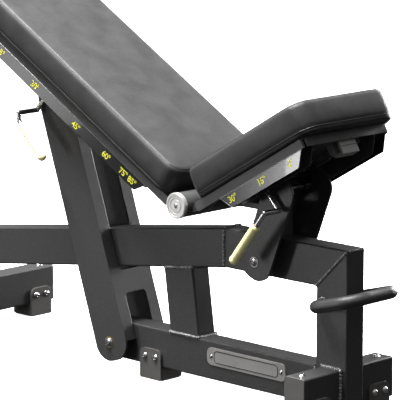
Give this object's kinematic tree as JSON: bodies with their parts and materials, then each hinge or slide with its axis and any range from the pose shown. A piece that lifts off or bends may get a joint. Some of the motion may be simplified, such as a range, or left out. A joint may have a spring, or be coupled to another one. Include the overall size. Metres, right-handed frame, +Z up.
{
  "type": "adjustable weight bench",
  "caption": "Adjustable weight bench: two-beam steel frame, padded seat and backrest on one hinge, channel props with latch levers, and a lift handle.",
  "frame": {"origin": "on the floor under the middle of the bounding box", "axes": "+X towards the seat end and the lift handle, +Y to the far side away from the latch levers, +Z up"},
  "size_m": [1.3035, 0.5, 0.8692],
  "materials": {
    "powder_coat": "fine-texture charcoal powder coat on steel",
    "grey_plastic": "moulded, fine grain",
    "chrome": "polished",
    "brushed_metal": "brushed, concentric on the caps",
    "zinc_steel": "zinc plated",
    "bronze": "sintered bronze",
    "rubber": "matte",
    "leatherette": "grained leatherette over foam",
    "plywood": "raw birch plywood",
    "satin_black": "satin black lacquer; the scale plates carry yellow angle marks",
    "light_grey_metal": "satin light grey paint",
    "yellow_grip": "soft dipped vinyl"
  },
  "bodies": {
    "frame": {"front_post": "powder_coat", "upper_beam_front": "powder_coat", "upper_beam_rear": "powder_coat", "rear_post": "powder_coat", "center_strut": "powder_coat", "lower_beam": "powder_coat", "front_cross_tubes": "powder_coat", "rear_cross_tubes": "powder_coat", "end_plugs": "grey_plastic", "end_plug_screws": "chrome", "cross_feet": "grey_plastic", "middle_foot": "grey_plastic", "foot_bolts": "chrome", "lift_handle": "powder_coat", "badge_plate": "brushed_metal", "badge_rivets": "chrome", "hinge_carrier": "powder_coat", "hinge_shaft": "chrome", "hinge_end_caps": "brushed_metal", "hinge_cap_screws": "chrome", "seat_prop_spacers": "zinc_steel", "seat_prop_bolt": "chrome", "backrest_prop_bolt": "chrome", "pivot_washers": "zinc_steel", "pivot_nuts": "chrome", "wheel_brackets": "powder_coat", "wheel_axles": "chrome"},
    "seat": {"seat_pad": "leatherette", "seat_board": "plywood", "seat_tray": "powder_coat", "seat_scale_plates": "satin_black", "seat_inner_plates": "powder_coat", "seat_racks": "zinc_steel", "seat_knuckles": "powder_coat", "seat_bumper": "light_grey_metal", "seat_board_screws": "zinc_steel"},
    "backrest_bushes": {"backrest_hinge_bushes": "bronze"},
    "backrest": {"backrest_pad": "leatherette", "backrest_board": "plywood", "backrest_tray": "powder_coat", "backrest_scale_plates": "satin_black", "backrest_inner_plates": "powder_coat", "backrest_racks": "zinc_steel", "backrest_knuckles": "powder_coat", "backrest_board_screws": "zinc_steel"},
    "seat_prop": {"seat_prop": "powder_coat", "seat_latch_bar": "satin_black", "seat_lever_spring": "satin_black"},
    "backrest_prop_link": {"backrest_prop_bushes": "bronze"},
    "backrest_prop": {"backrest_prop": "powder_coat", "backrest_latch_bar": "satin_black", "backrest_lever_spring": "satin_black"},
    "seat_lever": {"seat_lever": "chrome", "seat_grip": "yellow_grip"},
    "backrest_lever": {"backrest_lever": "chrome", "backrest_grip": "yellow_grip"},
    "near_wheel": {"near_wheel_tyre": "rubber", "near_wheel_hub": "grey_plastic"},
    "far_wheel": {"far_wheel_tyre": "rubber", "far_wheel_hub": "grey_plastic"}
  },
  "joints": [
    {"name": "backrest_lower", "type": "hinge", "parent": "frame", "child": "backrest_bushes", "pos_m": [0.24325, 0, 0.4], "axis": [0, 1, 0], "range_deg": [-30, 0]},
    {"name": "backrest_raise", "type": "hinge", "parent": "backrest_bushes", "child": "backrest", "pos_m": [0.24325, 0, 0.4], "axis": [0, 1, 0], "range_deg": [0, 55]},
    {"name": "seat_tilt", "type": "hinge", "parent": "frame", "child": "seat", "pos_m": [0.24325, 0, 0.4], "axis": [0, 1, 0], "range_deg": [0, 30]},
    {"name": "seat_prop_swing", "type": "hinge", "parent": "frame", "child": "seat_prop", "pos_m": [0.37725, 0, 0.296], "axis": [0, 1, 0], "range_deg": [0, 52]},
    {"name": "backrest_prop_back", "type": "hinge", "parent": "frame", "child": "backrest_prop_link", "pos_m": [-0.02975, 0, 0.067], "axis": [0, 1, 0], "range_deg": [-41.8, 0]},
    {"name": "backrest_prop_forward", "type": "hinge", "parent": "backrest_prop_link", "child": "backrest_prop", "pos_m": [-0.02975, 0, 0.067], "axis": [0, 1, 0], "range_deg": [-39.7, 39.7]},
    {"name": "seat_lever_pull", "type": "hinge", "parent": "seat_prop", "child": "seat_lever", "pos_m": [0.42074, 0, 0.43998], "axis": [0, 1, 0], "range_deg": [0, 12], "stiffness_Nm_per_rad": 1.5, "springref_deg": -8.59},
    {"name": "backrest_lever_pull", "type": "hinge", "parent": "backrest_prop", "child": "backrest_lever", "pos_m": [-0.19958, 0, 0.56588], "axis": [0, -1, 0], "range_deg": [0, 12], "stiffness_Nm_per_rad": 1.5, "springref_deg": -8.59},
    {"name": "near_wheel_spin", "type": "hinge", "parent": "frame", "child": "near_wheel", "pos_m": [-0.61975, -0.14, 0.036], "axis": [0, 1, 0], "continuous": true},
    {"name": "far_wheel_spin", "type": "hinge", "parent": "frame", "child": "far_wheel", "pos_m": [-0.61975, 0.14, 0.036], "axis": [0, 1, 0], "continuous": true}
  ],
  "couplings": [
    {"joint": "seat_prop_swing", "follows": "seat_tilt", "ratio": 1.73},
    {"joint": "backrest_prop_back", "follows": "backrest_lower", "ratio": 1.39},
    {"joint": "backrest_prop_forward", "follows": "backrest_raise", "ratio": 0.72}
  ]
}
